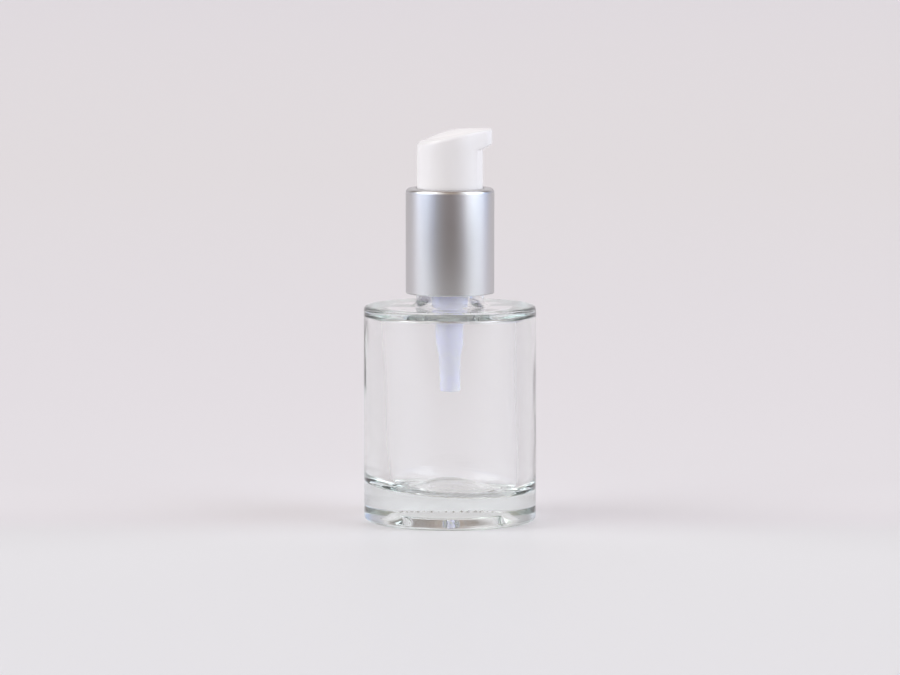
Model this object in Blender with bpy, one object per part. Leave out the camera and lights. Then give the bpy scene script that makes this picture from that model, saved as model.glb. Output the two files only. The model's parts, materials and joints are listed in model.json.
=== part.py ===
"""Glass pump bottle: a thick-walled cylinder bottle with a screw-on treatment pump.

Units are metres and +Z is up. The origin is the centre of the base, on the plane that the bottle stands on.
Every piece but the head is turned round the Z axis, and the beak of the head points along +X.
"""

import math

import bmesh
import bpy

MM = 0.001

# Bottle body
BODY_RADIUS = 20.0 * MM
BODY_HEIGHT = 49.9 * MM
SHOULDER_WALL = 4.5 * MM
HEEL_WALL = 5.3 * MM
FLOOR_THICKNESS = 9.5 * MM
ROOF_THICKNESS = 1.8 * MM
HEEL_ROUND = 1.0 * MM
SHOULDER_ROUND = 1.0 * MM
FLOOR_CROWN = 2.2 * MM
FLOOR_TROUGH = 4.5 * MM
ROOF_ROUND = 1.5 * MM
PUNT_DEPTH = 1.95 * MM
PUNT_CROWN = 0.20 * MM
PUNT_SLOPE = 1.85 * MM
BEARING_WIDTH = 8.4 * MM

# Bottle neck and its thread
NECK_HEIGHT = 15.1 * MM
NECK_WALL = 3.05 * MM
NECK_FILLET = 1.6 * MM
LIP_ROUND = 0.5 * MM
BORE_FLARE = 5.0 * MM
THREAD_PITCH = 3.175 * MM
THREAD_DEPTH = 0.95 * MM
THREAD_CREST = 0.9 * MM
THREAD_ROOT = 1.9 * MM
THREAD_DROP = 2.2 * MM
THREAD_TURNS = 1.5

# Threaded cap and the metal shell pressed over it
THREAD_CLEARANCE = 0.2 * MM
CAP_THREAD_CREST = 0.5 * MM
CAP_THREAD_ROOT = 1.5 * MM
CAP_THREAD_TURNS = 1.25
CAP_WALL = 0.75 * MM
DECK_THICKNESS = 1.2 * MM
SLEEVE_WALL = 1.8 * MM
SHELL_WALL = 0.4 * MM
SHELL_EDGE_ROUND = 1.0 * MM
SHELL_HEM_ROUND = 0.3 * MM
SHELL_OVERHANG = 0.3 * MM
NECK_SHOW = 2.9 * MM

# Gasket and pump housing
GASKET_THICKNESS = 1.0 * MM
FLANGE_THICKNESS = 1.1 * MM
FLANGE_INSET = 0.4 * MM
PISTON_BORE_RADIUS = 3.2 * MM
HOUSING_WALL = 1.0 * MM
NECK_BORE_CLEARANCE = 0.6 * MM
BORE_END_CLEARANCE = 1.1 * MM
BORE_STEP_HEIGHT = 0.8 * MM
BARREL_TAPER = 1.5 * MM
LOWER_WALL = 0.8 * MM
SPRING_LEDGE = 0.55 * MM
BALL_CHAMBER_HEIGHT = 2.7 * MM
SEAT_CONE_HEIGHT = 1.2 * MM
INLET_RADIUS = 1.0 * MM
INLET_LENGTH = 0.8 * MM
SOCKET_RADIUS = 1.95 * MM
SOCKET_DEPTH = 9.6 * MM
TAIL_WALL = 0.65 * MM
TAIL_DRAFT = 0.15 * MM
TAIL_TAPER = 2.8 * MM
TAIL_TAPER_START = 0.3 * MM
BALL_STOP_REACH = 0.75 * MM
BALL_STOP_THICKNESS = 0.5 * MM
BALL_STOP_WIDTH = 0.6 * MM
BALL_STOP_COUNT = 4
VENT_RADIUS = 0.35 * MM
VENT_DROP = 5.6 * MM

# Stem guide, stem, valve rod, piston, spring and ball
STROKE = 6.0 * MM
GUIDE_STEP = 0.35 * MM
GUIDE_DEPTH = 7.4 * MM
GUIDE_RIM_THICKNESS = 0.9 * MM
GUIDE_RIM_OVERHANG = 1.3 * MM
STEM_RADIUS = 2.0 * MM
STEM_WALL = 0.8 * MM
STEM_FLANGE_THICKNESS = 0.8 * MM
STEM_FLANGE_INSET = 0.3 * MM
STEM_GRIP = 7.4 * MM
VALVE_TRAVEL = 0.8 * MM
ROD_GRIP = 5.6 * MM
ROD_FIN = 0.7 * MM
ROD_HEAD_THICKNESS = 1.5 * MM
ROD_HEAD_INSET = 0.9 * MM
ROD_SPIGOT_LENGTH = 2.2 * MM
PISTON_LENGTH = 3.9 * MM
PISTON_TUBE_WALL = 0.6 * MM
PISTON_WEB = 1.1 * MM
PISTON_LIP = 0.35 * MM
PISTON_LIP_SETBACK = 0.5 * MM
FLOW_GAP = 0.3 * MM
SPRING_WIRE = 0.45 * MM
SPRING_CLEARANCE = 0.17 * MM
SPRING_MARGIN = 0.35 * MM
SPRING_TURNS = 7
SPRING_END_GAP = 0.45 * MM
BALL_RADIUS = 1.5 * MM
BALL_CLEARANCE = 0.4 * MM

# Pump head
SKIRT_CLEARANCE = 0.6 * MM
SKIRT_OVERLAP = 2.0 * MM
HEAD_WALL = 1.1 * MM
HEAD_HEIGHT = 15.8 * MM
HEAD_TOP_RADIUS = 21.0 * MM
HEAD_LEVEL_LENGTH = 5.3 * MM
HEAD_CROWN = 1.45 * MM
HEAD_EDGE_ROUND = 0.8 * MM
HEAD_BACK_ROUND = 1.8 * MM
BEAK_REACH = 2.15 * MM
BEAK_HALF_WIDTH = 2.2 * MM
BEAK_DEPTH = 4.65 * MM
BEAK_UNDERSIDE_RISE = 0.85 * MM
BEAK_LOWER_ROUND = 0.3 * MM
HEAD_ROOF = 4.8 * MM
SOCKET_WALL = 0.9 * MM
SOCKET_SETBACK = 1.8 * MM
ORIFICE_RADIUS = 0.8 * MM
ORIFICE_DROP = 1.75 * MM
CHANNEL_DROP = 3.2 * MM

# Gaps between neighbours: running fits, pressed fits and faces that rest on each other
RUNNING_GAP = 0.1 * MM
PRESS_GAP = 0.1 * MM
SEAT_GAP = 0.1 * MM
DECK_HOLE_GAP = 0.15 * MM
HEAD_GAP = 0.3 * MM
OVERRUN = 0.4 * MM
WELD = 0.001 * MM

# How finely round shapes are divided
LARGE_STEPS = 48
SMALL_STEPS = 32
CORNER_STEPS = 3
DOME_STEPS = 4
FLARE_STEPS = 6
SPRING_STEPS_PER_TURN = 10
THREAD_STEPS_PER_TURN = 32
THREAD_RUNOUT_TURNS = 0.125
THREAD_END_SHARE = 0.1
HEAD_COLUMNS = 56
HEAD_CROWDING_SHARE = 0.5
HEAD_TOP_SHARES = (0.75, 0.5, 0.25)
BEAK_UNDERSIDE_SHARE = 0.85
BEAK_SHARPNESS = 14
SHARP_ANGLE = math.radians(35)

# Radii, worked outwards from the piston bore
barrel_radius = PISTON_BORE_RADIUS + HOUSING_WALL
neck_bore_radius = barrel_radius + NECK_BORE_CLEARANCE
neck_radius = neck_bore_radius + NECK_WALL
cap_bore_radius = neck_radius + THREAD_DEPTH + THREAD_CLEARANCE
cap_radius = cap_bore_radius + CAP_WALL
shell_bore_radius = cap_radius + PRESS_GAP
shell_radius = shell_bore_radius + SHELL_WALL
sleeve_bore_radius = cap_radius - SLEEVE_WALL
head_radius = sleeve_bore_radius - HEAD_GAP
flange_radius = neck_radius - FLANGE_INSET
deck_hole_radius = barrel_radius + DECK_HOLE_GAP
counterbore_radius = PISTON_BORE_RADIUS + GUIDE_STEP
guide_radius = counterbore_radius - PRESS_GAP
guide_bore_radius = STEM_RADIUS + RUNNING_GAP
stem_bore_radius = STEM_RADIUS - STEM_WALL
rod_radius = stem_bore_radius - RUNNING_GAP / 2
rod_head_radius = PISTON_BORE_RADIUS - ROD_HEAD_INSET
chamber_radius = BALL_RADIUS + BALL_CLEARANCE
lower_bore_radius = chamber_radius + SPRING_LEDGE
lower_radius = lower_bore_radius + LOWER_WALL
spring_radius = lower_bore_radius - SPRING_CLEARANCE - SPRING_WIRE / 2

# Levels, worked upwards from the lip of the glass, then down the inside of the pump
lip_z = BODY_HEIGHT + NECK_HEIGHT
gasket_z = lip_z + SEAT_GAP
flange_z = gasket_z + GASKET_THICKNESS + SEAT_GAP
flange_top_z = flange_z + FLANGE_THICKNESS
deck_z = flange_top_z + SEAT_GAP
deck_top_z = deck_z + DECK_THICKNESS
guide_rim_z = deck_top_z + SEAT_GAP
shell_z = BODY_HEIGHT + NECK_SHOW
cap_z = shell_z + SHELL_OVERHANG
skirt_z = deck_top_z + STROKE + SKIRT_CLEARANCE
shell_top_z = skirt_z + SKIRT_OVERLAP
head_top_z = skirt_z + HEAD_HEIGHT
guide_foot_z = guide_rim_z - GUIDE_DEPTH
stem_shoulder_z = guide_foot_z - SEAT_GAP
stem_foot_z = stem_shoulder_z - STEM_FLANGE_THICKNESS
piston_top_z = stem_foot_z - VALVE_TRAVEL - SEAT_GAP
piston_z = piston_top_z - PISTON_LENGTH
rod_head_z = piston_z - SEAT_GAP - ROD_HEAD_THICKNESS
bore_end_z = piston_z - STROKE - BORE_END_CLEARANCE
spring_top_z = rod_head_z - SEAT_GAP
spring_length = STROKE + SPRING_TURNS * SPRING_WIRE + SPRING_MARGIN
spring_z = spring_top_z - spring_length
ledge_z = spring_z - SEAT_GAP
seat_top_z = ledge_z - BALL_CHAMBER_HEIGHT
seat_z = seat_top_z - SEAT_CONE_HEIGHT
socket_top_z = seat_z - INLET_LENGTH
tail_z = socket_top_z - SOCKET_DEPTH
socket_roof_z = head_top_z - HEAD_ROOF - SOCKET_SETBACK
stem_top_z = socket_roof_z - SEAT_GAP
head_socket_z = stem_top_z - STEM_GRIP
thread_z = lip_z - THREAD_DROP - THREAD_TURNS * THREAD_PITCH


def clear_scene():
    for old in list(bpy.data.objects):
        bpy.data.objects.remove(old)


def material(name, colour, roughness, metallic=0.0, transmission=0.0, ior=1.5):
    made = bpy.data.materials.new(name)
    made.use_nodes = True
    shader = made.node_tree.nodes["Principled BSDF"]
    shader.inputs["Base Color"].default_value = (*colour, 1.0)
    shader.inputs["Roughness"].default_value = roughness
    shader.inputs["Metallic"].default_value = metallic
    shader.inputs["Transmission Weight"].default_value = transmission
    shader.inputs["IOR"].default_value = ior
    return made


def add_object(name, bm, finish=None):
    """A smooth-shaded object from a bmesh, with sharp edges kept sharp."""
    mesh = bpy.data.meshes.new(name)
    bm.to_mesh(mesh)
    bm.free()
    mesh.shade_smooth()
    mesh.set_sharp_from_angle(angle=SHARP_ANGLE)
    made = bpy.data.objects.new(name, mesh)
    bpy.context.scene.collection.objects.link(made)
    if finish:
        mesh.materials.append(finish)
    return made


def arc(centre_r, centre_z, radius, start, end, steps=CORNER_STEPS):
    """Points of a round corner in a turned outline, from one angle in degrees to another."""
    angles = [math.radians(start + (end - start) * i / steps) for i in range(steps + 1)]
    return [(centre_r + radius * math.cos(a), centre_z + radius * math.sin(a)) for a in angles]


def turned(name, outline, origin_z, finish=None, steps=SMALL_STEPS, ring=True):
    """Spins an outline of (radius, height) points round the Z axis, with the origin on the axis.

    A ring's outline closes on itself. Otherwise both its ends lie on the axis.
    """
    bm = bmesh.new()
    verts = [bm.verts.new((r, 0.0, z - origin_z)) for r, z in outline]
    followers = verts[1:] + verts[:1] if ring else verts[1:]
    edges = [bm.edges.new(pair) for pair in zip(verts, followers)]
    bmesh.ops.spin(
        bm, geom=verts + edges, cent=(0, 0, 0), axis=(0, 0, 1), angle=math.tau, steps=steps, use_merge=True
    )
    bmesh.ops.remove_doubles(bm, verts=bm.verts, dist=WELD)
    bmesh.ops.recalc_face_normals(bm, faces=bm.faces)
    made = add_object(name, bm, finish)
    made.location.z = origin_z
    return made


def combine(target, tool, operation):
    """Joins a helper to a piece, or cuts it away, and hides the helper."""
    modifier = target.modifiers.new(tool.name, "BOOLEAN")
    modifier.operation = operation
    modifier.solver = "EXACT"
    modifier.object = tool
    tool.hide_render = True
    tool.display_type = "WIRE"


def thread_ridge(name, root_radius, crest_radius, start_z, turns, root_width, crest_width, origin_z):
    """A screw ridge with tapered ends: a trapezoid swept along a right-handed helix."""
    bm = bmesh.new()
    count = round(THREAD_STEPS_PER_TURN * turns)
    loops = []
    for i in range(count + 1):
        done = turns * i / count
        height = min(1.0, THREAD_END_SHARE + min(done, turns - done) / THREAD_RUNOUT_TURNS)
        crest = root_radius + (crest_radius - root_radius) * height
        z = start_z + THREAD_PITCH * done - origin_z
        section = (
            (root_radius, z - root_width / 2),
            (crest, z - crest_width / 2),
            (crest, z + crest_width / 2),
            (root_radius, z + root_width / 2),
        )
        angle = math.tau * done
        loops.append([bm.verts.new((r * math.cos(angle), r * math.sin(angle), h)) for r, h in section])
    for near, far in zip(loops, loops[1:]):
        for k in range(len(near)):
            after = (k + 1) % len(near)
            bm.faces.new((near[k], near[after], far[after], far[k]))
    bm.faces.new(loops[0])
    bm.faces.new(loops[-1])
    bmesh.ops.recalc_face_normals(bm, faces=bm.faces)
    made = add_object(name, bm)
    made.location.z = origin_z
    return made


def box_tool(name, size, centre, angle=0.0):
    """A hidden block, turned round Z."""
    bm = bmesh.new()
    bmesh.ops.create_cube(bm, size=1.0)
    bmesh.ops.scale(bm, vec=size, verts=bm.verts)
    bmesh.ops.translate(bm, vec=centre, verts=bm.verts)
    made = add_object(name, bm)
    made.rotation_euler.z = angle
    return made


def rod_tool(name, radius, length, centre, tilt):
    """A hidden cylinder that lies along X, tilted round Y."""
    bm = bmesh.new()
    bmesh.ops.create_cone(
        bm, cap_ends=True, segments=SMALL_STEPS // 2, radius1=radius, radius2=radius, depth=length
    )
    made = add_object(name, bm)
    made.rotation_euler.y = math.pi / 2 - tilt
    made.location = centre
    return made


def dome(radius, top_z, crown):
    """Points of a shallow dome in a turned outline, from the middle outwards."""
    shares = [i / DOME_STEPS for i in range(DOME_STEPS + 1)]
    return [(radius * s, top_z - crown * s * s) for s in shares]


def trough(wall_r, dome_r, dome_z, slope):
    """The round trough between the inner wall and the rim of the domed floor, from the wall inwards."""
    tilt = math.atan(slope)
    radius = (wall_r - dome_r) / (1 + math.sin(tilt))
    centre_z = dome_z + radius * math.cos(tilt)
    return arc(wall_r - radius, centre_z, radius, 0, -90 - math.degrees(tilt), FLARE_STEPS)


def bottle_outline():
    bearing_radius = BODY_RADIUS - HEEL_ROUND - BEARING_WIDTH
    roof_z = BODY_HEIGHT - ROOF_THICKNESS
    inner_top = BODY_RADIUS - SHOULDER_WALL
    inner_foot = BODY_RADIUS - HEEL_WALL
    dome_radius = inner_foot - FLOOR_TROUGH
    dome_rim_z = FLOOR_THICKNESS - FLOOR_CROWN
    dome_slope = 2 * FLOOR_CROWN / dome_radius
    flare_z = roof_z + BORE_FLARE
    return [
        *dome(bearing_radius - PUNT_SLOPE, PUNT_DEPTH, PUNT_CROWN),
        (bearing_radius, 0.0),
        *arc(BODY_RADIUS - HEEL_ROUND, HEEL_ROUND, HEEL_ROUND, -90, 0),
        *arc(BODY_RADIUS - SHOULDER_ROUND, BODY_HEIGHT - SHOULDER_ROUND, SHOULDER_ROUND, 0, 90),
        *arc(neck_radius + NECK_FILLET, BODY_HEIGHT + NECK_FILLET, NECK_FILLET, 270, 180),
        *arc(neck_radius - LIP_ROUND, lip_z - LIP_ROUND, LIP_ROUND, 0, 90),
        *arc(neck_bore_radius + LIP_ROUND, lip_z - LIP_ROUND, LIP_ROUND, 90, 180),
        *arc(neck_bore_radius + BORE_FLARE, flare_z, BORE_FLARE, 180, 270, FLARE_STEPS),
        *arc(inner_top - ROOF_ROUND, roof_z - ROOF_ROUND, ROOF_ROUND, 90, 0),
        *trough(inner_foot, dome_radius, dome_rim_z, dome_slope),
        *dome(dome_radius, FLOOR_THICKNESS, FLOOR_CROWN)[-2::-1],
    ]


def make_bottle(finish):
    bottle = turned("glass_bottle", bottle_outline(), 0.0, finish, steps=LARGE_STEPS, ring=False)
    ridge = thread_ridge(
        "neck_thread_tool",
        neck_radius - OVERRUN,
        neck_radius + THREAD_DEPTH,
        thread_z,
        THREAD_TURNS,
        THREAD_ROOT,
        THREAD_CREST,
        0.0,
    )
    combine(bottle, ridge, "UNION")
    return bottle


def make_cap(finish):
    """The plastic closure: a threaded skirt, a deck over the pump flange and a sleeve round the head."""
    corner = SHELL_EDGE_ROUND - SHELL_WALL - SEAT_GAP
    top_z = shell_top_z - SHELL_WALL - SEAT_GAP
    outline = [
        (cap_radius, cap_z),
        *arc(cap_radius - corner, top_z - corner, corner, 0, 90),
        (sleeve_bore_radius, top_z),
        (sleeve_bore_radius, deck_top_z),
        (deck_hole_radius, deck_top_z),
        (deck_hole_radius, deck_z),
        (cap_bore_radius, deck_z),
        (cap_bore_radius, cap_z),
    ]
    cap = turned("threaded_cap", outline, cap_z, finish, steps=LARGE_STEPS)
    ridge = thread_ridge(
        "cap_thread_tool",
        cap_bore_radius + CAP_WALL / 2,
        neck_radius + THREAD_CLEARANCE,
        thread_z - THREAD_PITCH / 2,
        CAP_THREAD_TURNS,
        CAP_THREAD_ROOT,
        CAP_THREAD_CREST,
        cap_z,
    )
    combine(cap, ridge, "UNION")
    return cap


def make_shell(finish):
    """The thin drawn metal sleeve over the cap, turned in round the head at its top."""
    corner_r = shell_radius - SHELL_EDGE_ROUND
    corner_z = shell_top_z - SHELL_EDGE_ROUND
    outline = [
        (shell_bore_radius, shell_z),
        *arc(shell_radius - SHELL_HEM_ROUND, shell_z + SHELL_HEM_ROUND, SHELL_HEM_ROUND, -90, 0),
        *arc(corner_r, corner_z, SHELL_EDGE_ROUND, 0, 90),
        (sleeve_bore_radius, shell_top_z),
        (sleeve_bore_radius, shell_top_z - SHELL_WALL),
        *arc(corner_r, corner_z, SHELL_EDGE_ROUND - SHELL_WALL, 90, 0),
    ]
    return turned("collar_shell", outline, shell_z, finish, steps=LARGE_STEPS)


def make_gasket(finish):
    top_z = gasket_z + GASKET_THICKNESS
    bore = barrel_radius + RUNNING_GAP
    outline = [(bore, gasket_z), (flange_radius, gasket_z), (flange_radius, top_z), (bore, top_z)]
    return turned("neck_gasket", outline, gasket_z, finish)


def make_housing(finish):
    """The pump cylinder: flange, barrel, ball chamber and the open socket that takes a dip tube."""
    tail_radius = SOCKET_RADIUS + TAIL_WALL
    taper_z = seat_z + TAIL_TAPER_START
    outline = [
        (counterbore_radius, deck_top_z),
        (barrel_radius, deck_top_z),
        (barrel_radius, flange_top_z),
        (flange_radius, flange_top_z),
        (flange_radius, flange_z),
        (barrel_radius, flange_z),
        (barrel_radius, bore_end_z),
        (lower_radius, bore_end_z - BARREL_TAPER),
        (lower_radius, taper_z),
        (tail_radius, taper_z - TAIL_TAPER),
        (tail_radius - TAIL_DRAFT, tail_z),
        (SOCKET_RADIUS, tail_z),
        (SOCKET_RADIUS, socket_top_z),
        (INLET_RADIUS, socket_top_z),
        (INLET_RADIUS, seat_z),
        (chamber_radius, seat_top_z),
        (chamber_radius, ledge_z),
        (lower_bore_radius, ledge_z),
        (lower_bore_radius, bore_end_z - BORE_STEP_HEIGHT),
        (PISTON_BORE_RADIUS, bore_end_z),
        (PISTON_BORE_RADIUS, stem_shoulder_z),
        (counterbore_radius, stem_shoulder_z),
    ]
    housing = turned("pump_housing", outline, flange_z, finish)
    reach = BALL_STOP_REACH + OVERRUN
    stop_z = ledge_z - SEAT_GAP - BALL_STOP_THICKNESS / 2
    for i in range(BALL_STOP_COUNT):
        stop = box_tool(
            f"ball_stop_tool_{i + 1}",
            (reach, BALL_STOP_WIDTH, BALL_STOP_THICKNESS),
            (chamber_radius - BALL_STOP_REACH + reach / 2, 0.0, stop_z),
            math.tau * (i + 0.5) / BALL_STOP_COUNT,
        )
        combine(housing, stop, "UNION")
    vent_length = HOUSING_WALL + 2 * OVERRUN
    vent_place = (-(PISTON_BORE_RADIUS + HOUSING_WALL / 2), 0.0, flange_z - VENT_DROP)
    combine(housing, rod_tool("vent_tool", VENT_RADIUS, vent_length, vent_place, 0.0), "DIFFERENCE")
    return housing


def make_guide(finish):
    """The snap-in ring that keeps the stem upright and traps the cap's deck on the housing."""
    rim_radius = barrel_radius + GUIDE_RIM_OVERHANG
    rim_top_z = guide_rim_z + GUIDE_RIM_THICKNESS
    outline = [
        (guide_bore_radius, guide_foot_z),
        (guide_radius, guide_foot_z),
        (guide_radius, guide_rim_z),
        (rim_radius, guide_rim_z),
        (rim_radius, rim_top_z),
        (guide_bore_radius, rim_top_z),
    ]
    return turned("stem_guide", outline, guide_rim_z, finish)


def make_stem(finish):
    flange = PISTON_BORE_RADIUS - STEM_FLANGE_INSET
    outline = [
        (stem_bore_radius, stem_foot_z),
        (flange, stem_foot_z),
        (flange, stem_shoulder_z),
        (STEM_RADIUS, stem_shoulder_z),
        (STEM_RADIUS, stem_top_z),
        (stem_bore_radius, stem_top_z),
    ]
    return turned("pump_stem", outline, stem_foot_z, finish)


def make_rod(finish):
    """The valve rod: a cross-shaped shank pushed into the stem, a valve head and a spigot in the spring."""
    head_top_z = rod_head_z + ROD_HEAD_THICKNESS
    spigot_radius = spring_radius - SPRING_WIRE / 2 - SPRING_CLEARANCE
    outline = [
        (0.0, rod_head_z - ROD_SPIGOT_LENGTH),
        (spigot_radius, rod_head_z - ROD_SPIGOT_LENGTH),
        (spigot_radius, rod_head_z),
        (rod_head_radius, rod_head_z),
        (rod_head_radius, head_top_z),
        (0.0, head_top_z),
    ]
    rod = turned("valve_rod", outline, rod_head_z, finish, ring=False)
    shank_top_z = stem_foot_z + ROD_GRIP
    height = shank_top_z - head_top_z + OVERRUN
    middle = (0.0, 0.0, (shank_top_z + head_top_z - OVERRUN) / 2)
    for i in range(2):
        fin = box_tool(f"rod_fin_tool_{i + 1}", (2 * rod_radius, ROD_FIN, height), middle, math.pi / 2 * i)
        combine(rod, fin, "UNION")
    return rod


def make_piston(finish):
    """A sliding seal: an inner tube on the rod, a web, and lips that wipe the bore both ways."""
    bore = rod_radius + FLOW_GAP
    tube = bore + PISTON_TUBE_WALL
    lip = PISTON_BORE_RADIUS - RUNNING_GAP
    web_z = piston_z + (PISTON_LENGTH - PISTON_WEB) / 2
    web_top_z = web_z + PISTON_WEB
    low_z = piston_z + PISTON_LIP_SETBACK
    high_z = piston_top_z - PISTON_LIP_SETBACK
    outline = [
        (bore, piston_z),
        (tube, piston_z),
        (tube, web_z),
        (lip - 2 * PISTON_LIP, web_z),
        (lip - PISTON_LIP, low_z),
        (lip, low_z),
        (lip - PISTON_LIP / 2, web_z),
        (lip - PISTON_LIP / 2, web_top_z),
        (lip, high_z),
        (lip - PISTON_LIP, high_z),
        (lip - 2 * PISTON_LIP, web_top_z),
        (tube, web_top_z),
        (tube, piston_top_z),
        (bore, piston_top_z),
    ]
    return turned("piston", outline, piston_z, finish)


def spring_points():
    """The spring's centreline: a closer turn at each end and open turns between."""
    end_pitch = SPRING_WIRE + SPRING_END_GAP
    rise = spring_length - SPRING_WIRE
    open_pitch = (rise - 2 * end_pitch) / (SPRING_TURNS - 2)
    points = []
    for i in range(SPRING_TURNS * SPRING_STEPS_PER_TURN + 1):
        turn = i / SPRING_STEPS_PER_TURN
        low = min(turn, 1.0)
        high = max(0.0, turn - (SPRING_TURNS - 1))
        z = SPRING_WIRE / 2 + end_pitch * (low + high) + open_pitch * (turn - low - high)
        angle = math.tau * turn
        points.append((spring_radius * math.cos(angle), spring_radius * math.sin(angle), z))
    return points


def least_gap(points):
    """The smallest clear gap between turns of the spring, measured on its points."""
    apart = SPRING_STEPS_PER_TURN // 2
    return min(
        math.dist(a, b) - SPRING_WIRE for i, a in enumerate(points) for b in points[i + apart :]
    )


def make_spring(finish):
    points = spring_points()
    print(f"return_spring: least gap between turns {least_gap(points) / MM:.2f} mm")
    curve = bpy.data.curves.new("return_spring", "CURVE")
    curve.dimensions = "3D"
    curve.bevel_depth = SPRING_WIRE / 2
    curve.bevel_resolution = 1
    curve.use_fill_caps = True
    spline = curve.splines.new("POLY")
    spline.points.add(len(points) - 1)
    for point, place in zip(spline.points, points):
        point.co = (*place, 1.0)
    curve.materials.append(finish)
    spring = bpy.data.objects.new("return_spring", curve)
    bpy.context.scene.collection.objects.link(spring)
    spring.location.z = spring_z
    return spring


def ball_height():
    """Where the ball's centre lies on the cone of its seat."""
    run = chamber_radius - INLET_RADIUS
    slant = math.hypot(run, SEAT_CONE_HEIGHT)
    reach = BALL_RADIUS + SEAT_GAP / 2
    return seat_z + (reach * slant - INLET_RADIUS * SEAT_CONE_HEIGHT) / run


def make_ball(finish):
    bm = bmesh.new()
    bmesh.ops.create_uvsphere(
        bm, u_segments=SMALL_STEPS // 2, v_segments=SMALL_STEPS // 4, radius=BALL_RADIUS
    )
    ball = add_object("inlet_ball", bm, finish)
    ball.location.z = ball_height()
    return ball


def head_angles():
    """Angles of the head's columns, closer together at the beak."""
    shares = [i / HEAD_COLUMNS for i in range(HEAD_COLUMNS)]
    return [math.tau * s - HEAD_CROWDING_SHARE * math.sin(math.tau * s) for s in shares]


def plan_radius(angle):
    """The head seen from above: a circle whose tangents run out to the square tip of the beak."""
    tip = head_radius + BEAK_REACH
    corner = math.hypot(tip, BEAK_HALF_WIDTH)
    tangent = math.atan2(BEAK_HALF_WIDTH, tip) + math.acos(head_radius / corner)
    turn = abs(math.remainder(angle, math.tau))
    if turn >= tangent:
        return head_radius
    side = math.cos(tangent - turn) / head_radius
    face = math.cos(turn) / tip
    return (side**BEAK_SHARPNESS + face**BEAK_SHARPNESS) ** (-1 / BEAK_SHARPNESS)


def top_level(x, y):
    """Height of the top above the skirt: level behind the tip, then curving down, and crowned across."""
    back = max(0.0, head_radius + BEAK_REACH - HEAD_LEVEL_LENGTH - x)
    drop = HEAD_TOP_RADIUS - math.sqrt(HEAD_TOP_RADIUS**2 - back**2)
    return HEAD_HEIGHT - drop - HEAD_CROWN * (y / head_radius) ** 2


def head_column(angle):
    """One column of the head's outer skin, from the foot of the skirt to near the middle of the top."""
    plan = plan_radius(angle)
    behind = ((1 - math.cos(angle)) / 2) ** 2
    beak_z = HEAD_HEIGHT - BEAK_DEPTH - HEAD_BACK_ROUND / 2 * behind
    out = (plan - head_radius) / BEAK_REACH
    under_z = beak_z + BEAK_UNDERSIDE_RISE * out
    edge = HEAD_EDGE_ROUND + (HEAD_BACK_ROUND - HEAD_EDGE_ROUND) * behind
    inset = plan - edge
    rim_z = top_level(inset * math.cos(angle), inset * math.sin(angle)) - edge
    column = [
        (head_radius, 0.0),
        (head_radius, beak_z - BEAK_LOWER_ROUND),
        (head_radius + (plan - head_radius) * BEAK_UNDERSIDE_SHARE, under_z),
        (plan, under_z + BEAK_LOWER_ROUND),
        *arc(inset, rim_z, edge, 0, 90),
    ]
    for share in HEAD_TOP_SHARES:
        r = inset * share
        column.append((r, top_level(r * math.cos(angle), r * math.sin(angle))))
    return column


def make_head(finish):
    """The pressed head with its beak: a lofted skin, hollowed from below, with a spout channel."""
    bm = bmesh.new()
    angles = head_angles()
    columns = [head_column(a) for a in angles]
    rings = []
    for level in range(len(columns[0])):
        ring = [
            bm.verts.new((c[level][0] * math.cos(a), c[level][0] * math.sin(a), c[level][1]))
            for a, c in zip(angles, columns)
        ]
        rings.append(ring)
    loops = [[bm.edges.new((a, b)) for a, b in zip(ring, ring[1:] + ring[:1])] for ring in rings]
    for low, high in zip(loops, loops[1:]):
        bmesh.ops.bridge_loops(bm, edges=low + high)
    bm.faces.new(rings[0])
    crown = bm.verts.new((0.0, 0.0, top_level(0.0, 0.0)))
    for a, b in zip(rings[-1], rings[-1][1:] + rings[-1][:1]):
        bm.faces.new((a, b, crown))
    bmesh.ops.recalc_face_normals(bm, faces=bm.faces)
    head = add_object("pump_head", bm, finish)
    head.location.z = skirt_z
    socket_bore = STEM_RADIUS + PRESS_GAP
    roof_z = head_top_z - HEAD_ROOF
    channel_z = head_top_z - CHANNEL_DROP
    hollow = [
        (0.0, skirt_z - OVERRUN),
        (head_radius - HEAD_WALL, skirt_z - OVERRUN),
        (head_radius - HEAD_WALL, roof_z - SOCKET_SETBACK),
        (socket_bore + SOCKET_WALL, roof_z - SOCKET_SETBACK),
        (socket_bore + SOCKET_WALL, head_socket_z),
        (socket_bore, head_socket_z),
        (socket_bore, socket_roof_z),
        (stem_bore_radius, socket_roof_z),
        (stem_bore_radius, channel_z),
        (0.0, channel_z),
    ]
    combine(head, turned("head_hollow_tool", hollow, skirt_z, ring=False), "DIFFERENCE")
    tip = head_radius + BEAK_REACH
    orifice_z = head_top_z - ORIFICE_DROP
    start_z = channel_z - ORIFICE_RADIUS
    tilt = math.atan2(orifice_z - start_z, tip)
    length = math.hypot(tip, orifice_z - start_z) + OVERRUN
    middle = (math.cos(tilt) * length / 2, 0.0, start_z + math.sin(tilt) * length / 2)
    combine(head, rod_tool("spout_channel_tool", ORIFICE_RADIUS, length, middle, tilt), "DIFFERENCE")
    return head


def body_empty(name, z, parent):
    """An empty on a joint's axis that carries the pieces which move together."""
    empty = bpy.data.objects.new(name, None)
    bpy.context.scene.collection.objects.link(empty)
    empty.location.z = z
    hang(empty, parent)
    return empty


def hang(child, parent):
    """Parents a piece and keeps it where it is."""
    bpy.context.view_layer.update()
    child.parent = parent
    child.matrix_parent_inverse = parent.matrix_world.inverted()


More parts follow.
